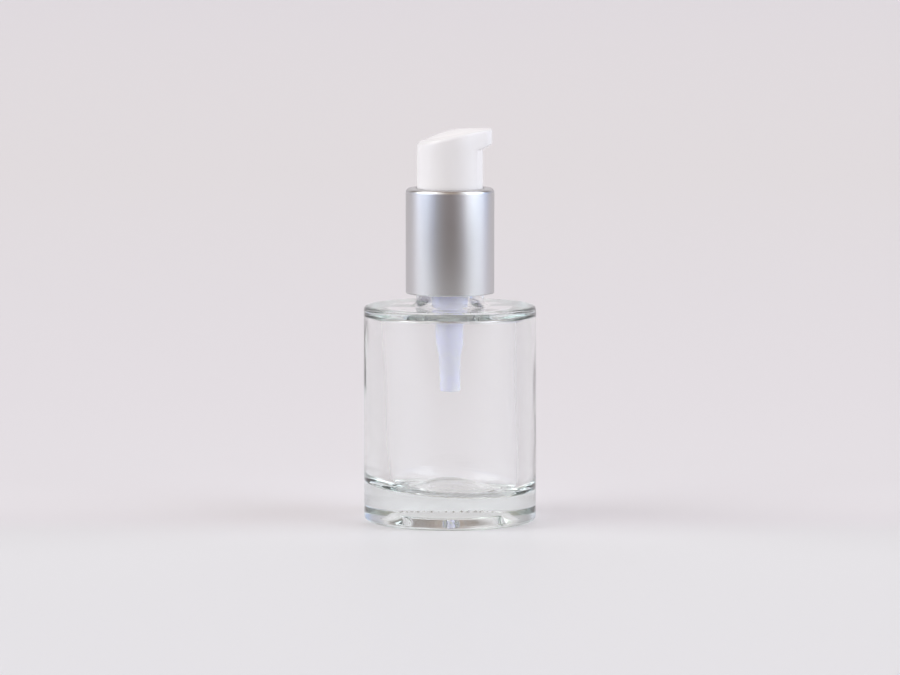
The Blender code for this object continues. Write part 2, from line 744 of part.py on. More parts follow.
def main():
    clear_scene()
    glass = material("clear_glass", (0.96, 0.985, 0.97), 0.02, transmission=1.0, ior=1.52)
    metal = material("satin_aluminium", (0.66, 0.67, 0.70), 0.34, metallic=1.0)
    white = material("white_gloss_plastic", (0.90, 0.89, 0.90), 0.22)
    frost = material("natural_plastic", (0.80, 0.81, 0.90), 0.35, transmission=0.6, ior=1.49)
    foam = material("gasket_foam", (0.88, 0.88, 0.86), 0.8)
    steel = material("stainless_steel", (0.62, 0.62, 0.63), 0.2, metallic=1.0)

    bottle = make_bottle(glass)
    unit = body_empty("pump_unit_axis", flange_z, bottle)
    for piece in (make_housing(frost), make_guide(frost), make_gasket(foam), make_spring(steel)):
        hang(piece, unit)
    closure = body_empty("closure_axis", cap_z, unit)
    for piece in (make_cap(white), make_shell(metal)):
        hang(piece, closure)
    plunger = body_empty("plunger_axis", stem_foot_z, unit)
    for piece in (make_stem(frost), make_rod(frost)):
        hang(piece, plunger)
    hang(make_piston(frost), plunger)
    hang(make_head(white), plunger)
    hang(make_ball(steel), unit)


main()
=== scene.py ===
"""Looks for the glass pump bottle: fine pieces, finishes, light, floor and camera.

Units are metres and +Z is up. The origin is the centre of the base, and the beak of the head
points along +X.
"""

import json
import math

import bmesh
import bpy
from mathutils import Matrix, Vector, noise


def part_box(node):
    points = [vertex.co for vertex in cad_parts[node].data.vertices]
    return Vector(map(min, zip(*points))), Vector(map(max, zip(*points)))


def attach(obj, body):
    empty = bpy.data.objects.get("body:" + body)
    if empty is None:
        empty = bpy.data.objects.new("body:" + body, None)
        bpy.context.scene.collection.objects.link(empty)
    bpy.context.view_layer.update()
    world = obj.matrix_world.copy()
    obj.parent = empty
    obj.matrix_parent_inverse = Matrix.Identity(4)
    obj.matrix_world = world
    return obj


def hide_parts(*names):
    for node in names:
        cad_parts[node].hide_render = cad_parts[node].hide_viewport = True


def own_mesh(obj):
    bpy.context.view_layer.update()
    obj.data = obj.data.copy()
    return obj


MM = 0.001

# Glass bottle: the punt is the hollow under its base, and a crown is a rise in the middle
HEEL_ROUND = 1.0 * MM
SHOULDER_ROUND = 1.0 * MM
BODY_HEIGHT = 49.9 * MM
SHOULDER_WALL = 4.5 * MM
HEEL_WALL = 5.3 * MM
FLOOR_THICKNESS = 9.5 * MM
ROOF_THICKNESS = 2.1 * MM
FLOOR_TROUGH = 4.5 * MM
FLOOR_CROWN = 2.2 * MM
ROOF_ROUND = 0.8 * MM
PUNT_RADIUS = 10.6 * MM
PUNT_DEPTH = 1.95 * MM
PUNT_CROWN = 0.20 * MM
PUNT_SLOPE = 1.85 * MM
PUNT_ROUND = 0.4 * MM
PUNT_SWELL = 0.25 * MM
PUNT_SWELL_SIZE = 1.1 * MM
PUNT_SWELL_SEED = 5.1
NOTCH_RISE = 0.30 * MM
NOTCH_COUNT = 58
NECK_RADIUS = 7.85 * MM
NECK_BORE = 4.8 * MM
NECK_FILLET = 1.6 * MM
LIP_ROUND = 0.5 * MM
BORE_FLARE = 5.0 * MM
CAVITY_TOP_SHIFT = -0.35 * MM
CAVITY_FOOT_SHIFT = 0.64 * MM
CAVITY_FLOOR_TILT = -0.050
CAVITY_WAVE = 0.10 * MM
CAVITY_WAVE_SIZE = 7.0 * MM
CAVITY_WAVE_SEED = 3.7
SKIN_WAVE = 0.02 * MM
SKIN_WAVE_SIZE = 11.0 * MM
SKIN_WAVE_SEED = 8.2
TROUGH_ROUND_SHARE = 0.99

# Screw threads
THREAD_PITCH = 3.175 * MM
THREAD_DEPTH = 0.95 * MM
THREAD_CREST = 0.9 * MM
THREAD_ROOT = 1.9 * MM
THREAD_DROP = 2.2 * MM
THREAD_TURNS = 1.5
THREAD_CLEARANCE = 0.2 * MM
CAP_THREAD_CREST = 0.5 * MM
CAP_THREAD_ROOT = 1.5 * MM
CAP_THREAD_TURNS = 1.25
RUNOUT_TURNS = 0.125
RUNOUT_SHARE = 0.1

# Cap, collar shell and gasket
CAP_WALL = 0.75 * MM
DECK_THICKNESS = 1.2 * MM
DECK_HOLE_RADIUS = 4.35 * MM
SLEEVE_BORE = 7.95 * MM
SHELL_WALL = 0.4 * MM
SHELL_EDGE_ROUND = 1.0 * MM
SHELL_HEM_ROUND = 0.3 * MM
PLASTIC_EDGE = 0.12 * MM
SEAT_GAP = 0.1 * MM
GASKET_BORE = 4.3 * MM
GASKET_EDGE = 0.15 * MM

# Pump housing
BARREL_RADIUS = 4.2 * MM
PISTON_BORE = 3.2 * MM
COUNTERBORE = 3.55 * MM
LOWER_RADIUS = 3.25 * MM
LOWER_BORE = 2.45 * MM
CHAMBER_RADIUS = 1.9 * MM
TAIL_RADIUS = 2.6 * MM
TAIL_DRAFT = 0.15 * MM
TAIL_EDGE = 0.3 * MM
SOCKET_RADIUS = 1.95 * MM
INLET_RADIUS = 1.0 * MM
FLANGE_THICKNESS = 1.1 * MM
NECK_STUB = 1.3 * MM
BORE_LENGTH = 12.7 * MM
BARREL_TAPER = 1.5 * MM
BORE_STEP = 0.8 * MM
BORE_TO_LEDGE = 4.1 * MM
CHAMBER_HEIGHT = 2.7 * MM
SEAT_CONE = 1.2 * MM
INLET_LENGTH = 0.8 * MM
TAPER_RISE = 0.3 * MM
TAPER_LENGTH = 2.8 * MM
BALL_STOP_COUNT = 4
BALL_STOP_SIZE = (0.95 * MM, 0.6 * MM, 0.5 * MM)
BALL_STOP_DROP = 0.35 * MM
VENT_RADIUS = 0.35 * MM
VENT_DROP = 5.6 * MM

# Guide, stem, rod, piston and spring
GUIDE_RADIUS = 3.45 * MM
GUIDE_BORE = 2.1 * MM
GUIDE_RIM = 0.9 * MM
STEM_RADIUS = 2.0 * MM
STEM_BORE = 1.2 * MM
STEM_FLANGE = 0.8 * MM
ROD_RADIUS = 1.15 * MM
ROD_FIN = 0.7 * MM
ROD_HEAD = 1.5 * MM
ROD_SPIGOT = 1.66 * MM
ROD_SPIGOT_LENGTH = 2.2 * MM
PISTON_BORE_GAP = 0.3 * MM
PISTON_TUBE_WALL = 0.6 * MM
PISTON_WEB = 1.1 * MM
PISTON_LIP = 0.35 * MM
PISTON_LIP_SETBACK = 0.5 * MM
SPRING_WIRE = 0.45 * MM
SPRING_TURNS = 7
SPRING_END_GAP = 0.45 * MM

# Pump head
HEAD_HEIGHT = 15.8 * MM
HEAD_RADIUS = 7.65 * MM
HEAD_TOP_RADIUS = 21.0 * MM
HEAD_LEVEL_LENGTH = 5.3 * MM
HEAD_CROWN = 1.45 * MM
HEAD_EDGE_ROUND = 0.8 * MM
HEAD_BACK_ROUND = 1.8 * MM
HEAD_FOOT_ROUND = 0.15 * MM
BEAK_HALF_WIDTH = 2.2 * MM
BEAK_DEPTH = 4.65 * MM
BEAK_UNDERSIDE_RISE = 0.85 * MM
BEAK_LOWER_ROUND = 0.3 * MM
BEAK_UNDERSIDE_SHARE = 0.85
BEAK_SHARPNESS = 14
HEAD_WALL = 1.1 * MM
HEAD_ROOF = 4.8 * MM
SOCKET_WALL = 0.9 * MM
SOCKET_SETBACK = 1.8 * MM
SOCKET_CLEARANCE = 0.1 * MM
STEM_GRIP = 7.4 * MM
ORIFICE_RADIUS = 0.8 * MM
ORIFICE_DROP = 1.75 * MM
CHANNEL_DROP = 3.2 * MM

# How finely round shapes are divided
NOTCH_STEPS = 4
GLASS_STEPS = NOTCH_STEPS * NOTCH_COUNT
ROUND_STEPS = 128
SMALL_STEPS = 96
CORNER_STEPS = 6
GLASS_CORNER_STEPS = 10
GLASS_ROW = 1.0 * MM
DOME_STEPS = 12
WIRE_STEPS = 14
HEAD_COLUMNS = 168
HEAD_CROWDING_SHARE = 0.5
HEAD_TOP_SHARES = (0.9, 0.75, 0.6, 0.45, 0.3, 0.15)
SHARP_ANGLE = math.radians(35)
WELD = 0.002 * MM
OVERRUN = 0.4 * MM

# Finishes
GLASS_TINT = (0.26, 0.46, 0.35, 1.0)
GLASS_DENSITY = 6.0
METAL_EDGE = (0.80, 0.80, 0.80, 1.0)
METAL_TONES = ((0.725, 0.725, 0.728), (0.710, 0.710, 0.713))
WHITE_TONES = ((0.905, 0.885, 0.875), (0.890, 0.870, 0.865))
MILK_TONES = ((0.79, 0.80, 0.99), (0.775, 0.785, 0.985))
MILK_DEPTH = 0.7 * MM
MILK_RADIUS_SHARES = (1.0, 1.0, 1.3)
FOAM_TONES = ((0.89, 0.89, 0.87), (0.84, 0.84, 0.81))
STEEL_TONES = ((0.64, 0.64, 0.65), (0.58, 0.58, 0.59))
SATIN_GRAIN = 0.004 * MM
FOAM_GRAIN = 0.03 * MM
STEEL_GRAIN = 0.002 * MM
METAL_DETAIL = dict(
    scale=3500.0, depth=SATIN_GRAIN, roughness=0.25, spread=0.08, tones=METAL_TONES, drift_scale=90.0
)
WHITE_DETAIL = dict(
    scale=900.0, depth=SATIN_GRAIN, roughness=0.17, spread=0.06, tones=WHITE_TONES, drift_scale=120.0
)
MILK_DETAIL = dict(
    scale=1200.0, depth=SATIN_GRAIN, roughness=0.20, spread=0.06, tones=MILK_TONES, drift_scale=200.0
)
FOAM_DETAIL = dict(
    scale=5000.0, depth=FOAM_GRAIN, roughness=0.85, spread=0.1, tones=FOAM_TONES, drift_scale=800.0
)
STEEL_DETAIL = dict(
    scale=6000.0, depth=STEEL_GRAIN, roughness=0.2, spread=0.12, tones=STEEL_TONES, drift_scale=900.0
)

# Camera
PHOTO_WIDTH = 900
PHOTO_FOCAL = 4335
SENSOR_WIDTH = 36.0
CAMERA_DISTANCE = 1.0
CAMERA_HEIGHT = 0.147
CAMERA_AIM = 0.0424

# Floor, with its tones by the distance behind the bottle in metres. Near the bottle the tones paint
# shade and light onto the floor: a darker band of painted shade at the front of the bottle's foot and a
# lighter band of painted light just behind the bottle. Further back the tone darkens slowly, and on the
# camera's side, from 0.215 m to 0.36 m in front of the bottle, it turns dark brown.
FLOOR_RADIUS = 6.0
FLOOR_DROP = 0.05 * MM
FLOOR_ROUGHNESS = 0.45
FLOOR_SHINE = 0.25
FLOOR_TONES_WITH_PAINTED_SHADE = (
    (-0.360, (0.120, 0.105, 0.095)),
    (-0.215, (0.777, 0.776, 0.791)),
    (-0.060, (0.777, 0.776, 0.786)),
    (-0.030, (0.757, 0.755, 0.763)),
    (-0.016, (0.757, 0.748, 0.762)),
    (-0.004, (0.776, 0.750, 0.774)),
    (0.010, (0.782, 0.758, 0.777)),
    (0.026, (0.809, 0.785, 0.805)),
    (0.045, (0.792, 0.769, 0.789)),
    (0.084, (0.773, 0.749, 0.767)),
    (0.240, (0.763, 0.735, 0.755)),
    (0.550, (0.750, 0.722, 0.739)),
    (1.200, (0.740, 0.711, 0.714)),
    (4.500, (0.717, 0.688, 0.709)),
)

# Light tent, with its tones by direction in degrees: 0 is the camera's side, 90 is on its right
# and 180 is behind the bottle. The slopes lie above the walls and the ceiling above the slopes,
# and each takes over between two angles above the floor.
TENT_WALLS = (
    (-180, (0.780, 0.740, 0.770)),
    (-158, (0.750, 0.715, 0.745)),
    (-124, (0.500, 0.480, 0.505)),
    (-106, (0.76, 0.77, 0.88)),
    (-88, (1.26, 1.36, 1.68)),
    (-66, (1.32, 1.46, 1.80)),
    (-48, (0.80, 0.88, 1.14)),
    (-32, (0.45, 0.46, 0.54)),
    (-14, (0.34, 0.31, 0.33)),
    (4, (0.30, 0.265, 0.275)),
    (20, (0.47, 0.44, 0.47)),
    (34, (0.86, 0.84, 0.92)),
    (48, (1.75, 1.80, 1.98)),
    (66, (2.00, 2.16, 2.42)),
    (86, (1.32, 1.48, 1.80)),
    (108, (0.52, 0.66, 1.02)),
    (126, (0.56, 0.55, 0.62)),
    (158, (0.76, 0.725, 0.755)),
    (180, (0.780, 0.740, 0.770)),
)
TENT_SLOPES = (
    (-180, (0.879, 0.840, 0.859)),
    (-150, (0.812, 0.783, 0.802)),
    (-130, (0.286, 0.248, 0.229)),
    (-112, (0.229, 0.191, 0.172)),
    (-92, (3.008, 3.056, 3.075)),
    (-60, (2.865, 2.913, 2.941)),
    (-36, (1.194, 1.146, 1.127)),
    (-10, (0.535, 0.439, 0.372)),
    (20, (0.411, 0.334, 0.277)),
    (40, (0.812, 0.774, 0.754)),
    (60, (2.483, 2.617, 2.808)),
    (92, (2.722, 2.865, 3.132)),
    (112, (0.229, 0.201, 0.191)),
    (130, (0.286, 0.248, 0.229)),
    (150, (0.812, 0.783, 0.802)),
    (180, (0.879, 0.840, 0.859)),
)
SLOPES_FROM = 8
SLOPES_FULL = 24
CEILING_TONE = (0.38, 0.31, 0.27)
CEILING_FROM = 50
CEILING_FULL = 72

# Light paths
GLOSSY_BOUNCES = 16
MOST_BOUNCES = 24


def add_node(tree, kind, values=None, **settings):
    """A shader node with its settings, where a value is a number, a colour or another node's output."""
    made = tree.nodes.new("ShaderNode" + kind)
    for key, value in settings.items():
        setattr(made, key, value)
    for socket, value in (values or {}).items():
        if isinstance(value, bpy.types.NodeSocket):
            tree.links.new(value, made.inputs[socket])
        else:
            made.inputs[socket].default_value = value
    return made


def math_node(tree, operation, *values):
    return add_node(tree, "Math", dict(enumerate(values)), operation=operation).outputs[0]


def ramp_node(tree, factor, stops, mode="EASE"):
    """A colour ramp from a list of (place, colour)."""
    made = add_node(tree, "ValToRGB", {"Fac": factor})
    ramp = made.color_ramp
    ramp.interpolation = mode
    while len(ramp.elements) < len(stops):
        ramp.elements.new(0.5)
    for element, (place, colour) in zip(ramp.elements, stops):
        element.position = place
        element.color = (*colour, 1.0)
    return made.outputs["Color"]


def fresh_material(name, colour, roughness, **values):
    """A new material with its Principled shader set up, and the tree it lives in."""
    made = bpy.data.materials.new(name)
    made.use_nodes = True
    tree = made.node_tree
    shader = tree.nodes["Principled BSDF"]
    shader.inputs["Base Color"].default_value = (*colour, 1.0)
    shader.inputs["Roughness"].default_value = roughness
    for socket, value in values.items():
        shader.inputs[socket.replace("_", " ")].default_value = value
    return made, tree, shader


def effect_group(name, inputs, outputs):
    """An empty node group with named sockets."""
    group = bpy.data.node_groups.new(name, "ShaderNodeTree")
    for label, kind, value in inputs:
        socket = group.interface.new_socket(label, in_out="INPUT", socket_type=kind)
        socket.default_value = value
    for label, kind in outputs:
        group.interface.new_socket(label, in_out="OUTPUT", socket_type=kind)
    entry = group.nodes.new("NodeGroupInput")
    leave = group.nodes.new("NodeGroupOutput")
    return group, entry, leave


def make_grain_group():
    """Fine grain: a height for Bump and a roughness that varies with it."""
    group, entry, leave = effect_group(
        "Fine Grain",
        [
            ("Scale", "NodeSocketFloat", 2000.0),
            ("Roughness", "NodeSocketFloat", 0.3),
            ("Roughness Spread", "NodeSocketFloat", 0.05),
        ],
        [("Height", "NodeSocketFloat"), ("Roughness", "NodeSocketFloat")],
    )
    place = add_node(group, "TexCoord").outputs["Object"]
    speckle = add_node(
        group, "TexNoise", {"Vector": place, "Scale": entry.outputs["Scale"], "Detail": 3.0}
    )
    height = speckle.outputs["Fac"]
    centred = math_node(group, "SUBTRACT", height, 0.5)
    spread = math_node(group, "MULTIPLY", centred, entry.outputs["Roughness Spread"])
    roughness = math_node(group, "ADD", entry.outputs["Roughness"], spread)
    group.links.new(height, leave.inputs["Height"])
    group.links.new(roughness, leave.inputs["Roughness"])
    return group


def make_drift_group():
    """Slow drift of tone over a surface, between two colours."""
    group, entry, leave = effect_group(
        "Tone Drift",
        [
            ("Scale", "NodeSocketFloat", 60.0),
            ("Colour A", "NodeSocketColor", (1.0, 1.0, 1.0, 1.0)),
            ("Colour B", "NodeSocketColor", (1.0, 1.0, 1.0, 1.0)),
        ],
        [("Colour", "NodeSocketColor")],
    )
    place = add_node(group, "TexCoord").outputs["Object"]
    cloud = add_node(
        group, "TexNoise", {"Vector": place, "Scale": entry.outputs["Scale"], "Detail": 2.0}
    )
    light, dark = entry.outputs["Colour A"], entry.outputs["Colour B"]
    blend = add_node(
        group, "Mix", {"Factor": cloud.outputs["Fac"], "A": light, "B": dark}, data_type="RGBA"
    )
    group.links.new(blend.outputs["Result"], leave.inputs["Colour"])
    return group


def use_group(tree, group, values=None):
    made = tree.nodes.new("ShaderNodeGroup")
    made.node_tree = group
    for socket, value in (values or {}).items():
        made.inputs[socket].default_value = value
    return made


def surface_detail(tree, shader, grain, drift, *, scale, depth, roughness, spread, tones, drift_scale):
    """Puts grain on roughness and normal, and slow drift on the base colour."""
    fine = use_group(tree, grain, {"Scale": scale, "Roughness": roughness, "Roughness Spread": spread})
    bump = add_node(
        tree, "Bump", {"Height": fine.outputs["Height"], "Strength": 1.0, "Distance": depth}
    )
    light, dark = tones
    tone = use_group(
        tree, drift, {"Scale": drift_scale, "Colour A": (*light, 1.0), "Colour B": (*dark, 1.0)}
    )
    tree.links.new(fine.outputs["Roughness"], shader.inputs["Roughness"])
    tree.links.new(bump.outputs["Normal"], shader.inputs["Normal"])
    tree.links.new(tone.outputs["Colour"], shader.inputs["Base Color"])


def make_glass():
    made, tree, _ = fresh_material(
        "clear soda glass", (1.0, 1.0, 1.0), 0.0, Transmission_Weight=1.0, IOR=1.52
    )
    depth = add_node(tree, "VolumeAbsorption", {"Color": GLASS_TINT, "Density": GLASS_DENSITY})
    tree.links.new(depth.outputs["Volume"], tree.nodes["Material Output"].inputs["Volume"])
    return made


def make_aluminium(grain, drift):
    made, tree, shader = fresh_material(
        "satin anodised aluminium", (0.72, 0.72, 0.72), 0.25, Metallic=1.0
    )
    shader.inputs["Specular Tint"].default_value = METAL_EDGE
    surface_detail(tree, shader, grain, drift, **METAL_DETAIL)
    return made


def make_white(grain, drift):
    made, tree, shader = fresh_material("white gloss plastic", (0.90, 0.88, 0.87), 0.18, IOR=1.49)
    surface_detail(tree, shader, grain, drift, **WHITE_DETAIL)
    return made


def make_natural(grain, drift):
    made, tree, shader = fresh_material(
        "milky natural plastic",
        (0.82, 0.835, 0.99),
        0.20,
        Subsurface_Weight=1.0,
        Subsurface_Scale=MILK_DEPTH,
    )
    shader.inputs["Subsurface Radius"].default_value = MILK_RADIUS_SHARES
    surface_detail(tree, shader, grain, drift, **MILK_DETAIL)
    return made


def make_foam(grain, drift):
    made, tree, shader = fresh_material("gasket foam", (0.88, 0.88, 0.86), 0.85)
    surface_detail(tree, shader, grain, drift, **FOAM_DETAIL)
    return made


def make_steel(grain, drift):
    made, tree, shader = fresh_material("stainless steel", (0.62, 0.62, 0.63), 0.2, Metallic=1.0)
    surface_detail(tree, shader, grain, drift, **STEEL_DETAIL)
    return made


def outline_bmesh(corners, ring, corner_steps):
    """A wire outline of (radius, height, round) corners, with a bevel where the round is not 0."""
    bm = bmesh.new()
    verts = [bm.verts.new((r, 0.0, z)) for r, z, _ in corners]
    followers = verts[1:] + verts[:1] if ring else verts[1:]
    for pair in zip(verts, followers):
        bm.edges.new(pair)
    for vert, (_, _, size) in zip(verts, corners):
        if size:
            bmesh.ops.bevel(
                bm,
                geom=[vert],
                affect="VERTICES",
                offset_type="OFFSET",
                offset=size,
                segments=corner_steps,
                profile=0.5,
                material=-1,
            )
    return bm


def spin_round(bm, steps):
    """Turns the wire into a closed surface round the Z axis, with its faces pointing outwards."""
    bmesh.ops.spin(
        bm,
        geom=bm.verts[:] + bm.edges[:],
        cent=(0, 0, 0),
        axis=(0, 0, 1),
        angle=math.tau,
        steps=steps,
        use_merge=True,
    )
    bmesh.ops.remove_doubles(bm, verts=bm.verts, dist=WELD)
    bmesh.ops.recalc_face_normals(bm, faces=bm.faces)


def add_object(name, bm, finish=None):
    mesh = bpy.data.meshes.new(name)
    bm.to_mesh(mesh)
    bm.free()
    mesh.shade_smooth()
    mesh.set_sharp_from_angle(angle=SHARP_ANGLE)
    made = bpy.data.objects.new(name, mesh)
    bpy.context.scene.collection.objects.link(made)
    if finish:
        mesh.materials.append(finish)
    return made


def turned(name, corners, finish=None, ring=True, steps=SMALL_STEPS, corner_steps=CORNER_STEPS):
    """Spins an outline round the Z axis. A ring's outline closes on itself; others end on the axis."""
    bm = outline_bmesh(corners, ring, corner_steps)
    spin_round(bm, steps)
    return add_object(name, bm, finish)


def combine(target, tool, operation):
    """Joins a helper to a piece or cuts it away for good, and removes the helper."""
    modifier = target.modifiers.new(tool.name, "BOOLEAN")
    modifier.operation = operation
    modifier.solver = "EXACT"
    modifier.object = tool
    with bpy.context.temp_override(object=target, active_object=target):
        bpy.ops.object.modifier_apply(modifier=modifier.name)
    bpy.data.objects.remove(tool)
    target.data.shade_smooth()
    target.data.set_sharp_from_angle(angle=SHARP_ANGLE)


def thread_ridge(name, root_radius, crest_radius, start_z, turns, root_width, crest_width, steps):
    """A screw ridge with tapered ends: a trapezoid spun along a right-handed helix."""
    bm = bmesh.new()
    section = (
        (root_radius, -root_width / 2),
        (crest_radius, -crest_width / 2),
        (crest_radius, crest_width / 2),
        (root_radius, root_width / 2),
    )
    start = bm.faces.new([bm.verts.new((r, 0.0, start_z + z)) for r, z in section])
    count = round(steps * turns)
    bmesh.ops.spin(
        bm,
        geom=[start],
        cent=(0, 0, 0),
        axis=(0, 0, 1),
        dvec=(0, 0, THREAD_PITCH / steps),
        angle=math.tau * turns,
        steps=count,
    )
    bmesh.ops.recalc_face_normals(bm, faces=bm.faces)
    middle = (root_radius + crest_radius) / 2
    bm.verts.ensure_lookup_table()
    for index, vert in enumerate(bm.verts):
        done = turns * (index // len(section)) / count
        height = min(1.0, RUNOUT_SHARE + min(done, turns - done) / RUNOUT_TURNS)
        r = math.hypot(vert.co.x, vert.co.y)
        if height < 1.0 and (r > middle) == (crest_radius > root_radius):
            new_r = root_radius + (crest_radius - root_radius) * height
            vert.co.x *= new_r / r
            vert.co.y *= new_r / r
    return add_object(name, bm)


def stand_for(piece, node):
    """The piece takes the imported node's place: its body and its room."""
    record = frame["record"]
    body = next(name for name, members in record["behaviour"]["bodies"].items() if node in members)
    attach(piece, body)
    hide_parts(node)


def glass_corners(body_radius, lip_z):
    """The bottle's outline: from the middle of the base outwards, up, over the lip, down inside."""
    roof_z = BODY_HEIGHT - ROOF_THICKNESS
    top_wall = body_radius - SHOULDER_WALL
    foot_wall = body_radius - HEEL_WALL
    recess = PUNT_RADIUS - PUNT_SLOPE
    rising = [i / DOME_STEPS for i in range(DOME_STEPS)]
    dome = foot_wall - FLOOR_TROUGH
    rim_z = FLOOR_THICKNESS - FLOOR_CROWN
    slope = 2 * FLOOR_CROWN / dome
    trough_round = TROUGH_ROUND_SHARE * FLOOR_TROUGH * math.hypot(1.0, slope)
    return [
        *[(recess * s, PUNT_DEPTH - PUNT_CROWN * s * s, 0) for s in rising],
        (recess, PUNT_DEPTH - PUNT_CROWN, PUNT_ROUND),
        (PUNT_RADIUS, 0.0, PUNT_ROUND / 2),
        (body_radius, 0.0, HEEL_ROUND),
        (body_radius, BODY_HEIGHT, SHOULDER_ROUND),
        (NECK_RADIUS, BODY_HEIGHT, NECK_FILLET),
        (NECK_RADIUS, lip_z, LIP_ROUND),
        (NECK_BORE, lip_z, LIP_ROUND),
        (NECK_BORE, roof_z, BORE_FLARE),
        (top_wall, roof_z, ROOF_ROUND),
        (foot_wall, rim_z - slope * FLOOR_TROUGH, trough_round),
        (dome, rim_z, 0),
        *[(dome * s, FLOOR_THICKNESS - FLOOR_CROWN * s * s, 0) for s in reversed(rising)],
    ]


def split_long_edges(bm, longest):
    """Adds points along the wire's long straight runs, so that the surface can wave there."""
    for edge in list(bm.edges):
        cuts = int(edge.calc_length() / longest)
        if cuts:
            bmesh.ops.subdivide_edges(bm, edges=[edge], cuts=cuts)


def wave(place, size, seed):
    """Smooth noise, the same each run, and twice as coarse along the bottle as across it."""
    return noise.noise(Vector((place.x / size, place.y / size, place.z / (2 * size) + seed)))


def shape_cavity(vert):
    """The blown inside sits a little off the axis, has a sloping floor and waves slightly."""
    height = (vert.co.z - FLOOR_THICKNESS) / (BODY_HEIGHT - FLOOR_THICKNESS)
    shift = CAVITY_FOOT_SHIFT + (CAVITY_TOP_SHIFT - CAVITY_FOOT_SHIFT) * min(1.0, max(0.0, height))
    fade = min(1.0, max(0.0, (BODY_HEIGHT - ROOF_THICKNESS + BORE_FLARE - vert.co.z) / BORE_FLARE))
    swell = CAVITY_WAVE * wave(vert.co, CAVITY_WAVE_SIZE, CAVITY_WAVE_SEED)
    low = max(0.0, 1.0 - 2.0 * height)
    tilt = CAVITY_FLOOR_TILT * vert.co.x * low
    vert.co += fade * (vert.normal * swell + Vector((shift, 0.0, tilt)))


def shape_hollow(vert, r):
    """The upper edge of the base's hollow is uneven and notched behind."""
    if abs(r - PUNT_RADIUS + PUNT_SLOPE) < PUNT_ROUND:
        turn = math.atan2(vert.co.y, vert.co.x) / math.tau
        notch = NOTCH_RISE * (round(turn * GLASS_STEPS) % NOTCH_STEPS == 0)
        swell = PUNT_SWELL * wave(vert.co, PUNT_SWELL_SIZE, PUNT_SWELL_SEED)
        vert.co.z += max(0.0, vert.co.y / r) * (swell + notch)


def make_bottle(finish):
    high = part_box("glass_bottle")[1]
    body_radius = high.x
    bm = outline_bmesh(glass_corners(body_radius, high.z), False, GLASS_CORNER_STEPS)
    split_long_edges(bm, GLASS_ROW)
    spin_round(bm, GLASS_STEPS)
    bm.normal_update()
    inner_wall = body_radius - SHOULDER_WALL / 2
    roof = BODY_HEIGHT - ROOF_THICKNESS / 2
    for vert in bm.verts:
        r = math.hypot(vert.co.x, vert.co.y)
        inside = FLOOR_THICKNESS / 2 < vert.co.z < high.z and r < inner_wall
        neck = vert.co.z > roof and r > (NECK_BORE + NECK_RADIUS) / 2
        if inside and not neck:
            shape_cavity(vert)
        elif PUNT_DEPTH / 2 < vert.co.z < FLOOR_THICKNESS / 2 and r < PUNT_RADIUS:
            shape_hollow(vert, r)
        elif HEEL_ROUND < vert.co.z < BODY_HEIGHT:
            swell = SKIN_WAVE * (wave(vert.co, SKIN_WAVE_SIZE, SKIN_WAVE_SEED) - 0.5)
            vert.co += vert.normal * swell
    bottle = add_object("bottle", bm, finish)
    start_z = high.z - THREAD_DROP - THREAD_TURNS * THREAD_PITCH
    ridge = thread_ridge(
        "neck thread",
        NECK_RADIUS - OVERRUN,
        NECK_RADIUS + THREAD_DEPTH,
        start_z,
        THREAD_TURNS,
        THREAD_ROOT,
        THREAD_CREST,
        ROUND_STEPS,
    )
    combine(bottle, ridge, "UNION")
    return bottle


def make_cap(finish):
    low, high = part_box("threaded_cap")
    radius = high.x
    bore = radius - CAP_WALL
    deck_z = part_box("stem_guide")[1].z - GUIDE_RIM - DECK_THICKNESS - SEAT_GAP
    deck_top_z = deck_z + DECK_THICKNESS
    top_edge = SHELL_EDGE_ROUND - SHELL_WALL - SEAT_GAP
    cap = turned(
        "closure_cap",
        [
            (radius, low.z, PLASTIC_EDGE),
            (radius, high.z, top_edge),
            (SLEEVE_BORE, high.z, PLASTIC_EDGE),
            (SLEEVE_BORE, deck_top_z, PLASTIC_EDGE),
            (DECK_HOLE_RADIUS, deck_top_z, PLASTIC_EDGE),
            (DECK_HOLE_RADIUS, deck_z, PLASTIC_EDGE),
            (bore, deck_z, PLASTIC_EDGE),
            (bore, low.z, PLASTIC_EDGE),
        ],
        finish,
        steps=ROUND_STEPS,
    )
    lip_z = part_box("glass_bottle")[1].z
    start_z = lip_z - THREAD_DROP - THREAD_TURNS * THREAD_PITCH - THREAD_PITCH / 2
    ridge = thread_ridge(
        "cap thread",
        bore + CAP_WALL / 2,
        NECK_RADIUS + THREAD_CLEARANCE,
        start_z,
        CAP_THREAD_TURNS,
        CAP_THREAD_ROOT,
        CAP_THREAD_CREST,
        ROUND_STEPS,
    )
    combine(cap, ridge, "UNION")
    return cap


def make_shell(finish):
    low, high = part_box("collar_shell")
    radius = high.x
    bore = radius - SHELL_WALL
    return turned(
        "collar",
        [
            (bore, low.z, SHELL_WALL / 4),
            (radius, low.z, SHELL_HEM_ROUND),
            (radius, high.z, SHELL_EDGE_ROUND),
            (SLEEVE_BORE, high.z, SHELL_WALL / 4),
            (SLEEVE_BORE, high.z - SHELL_WALL, SHELL_WALL / 4),
            (bore, high.z - SHELL_WALL, SHELL_EDGE_ROUND - SHELL_WALL),
        ],
        finish,
        steps=ROUND_STEPS,
        corner_steps=GLASS_CORNER_STEPS,
    )


def make_gasket(finish):
    low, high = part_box("neck_gasket")
    corners = [(GASKET_BORE, low.z), (high.x, low.z), (high.x, high.z), (GASKET_BORE, high.z)]
    return turned("gasket", [(r, z, GASKET_EDGE) for r, z in corners], finish)


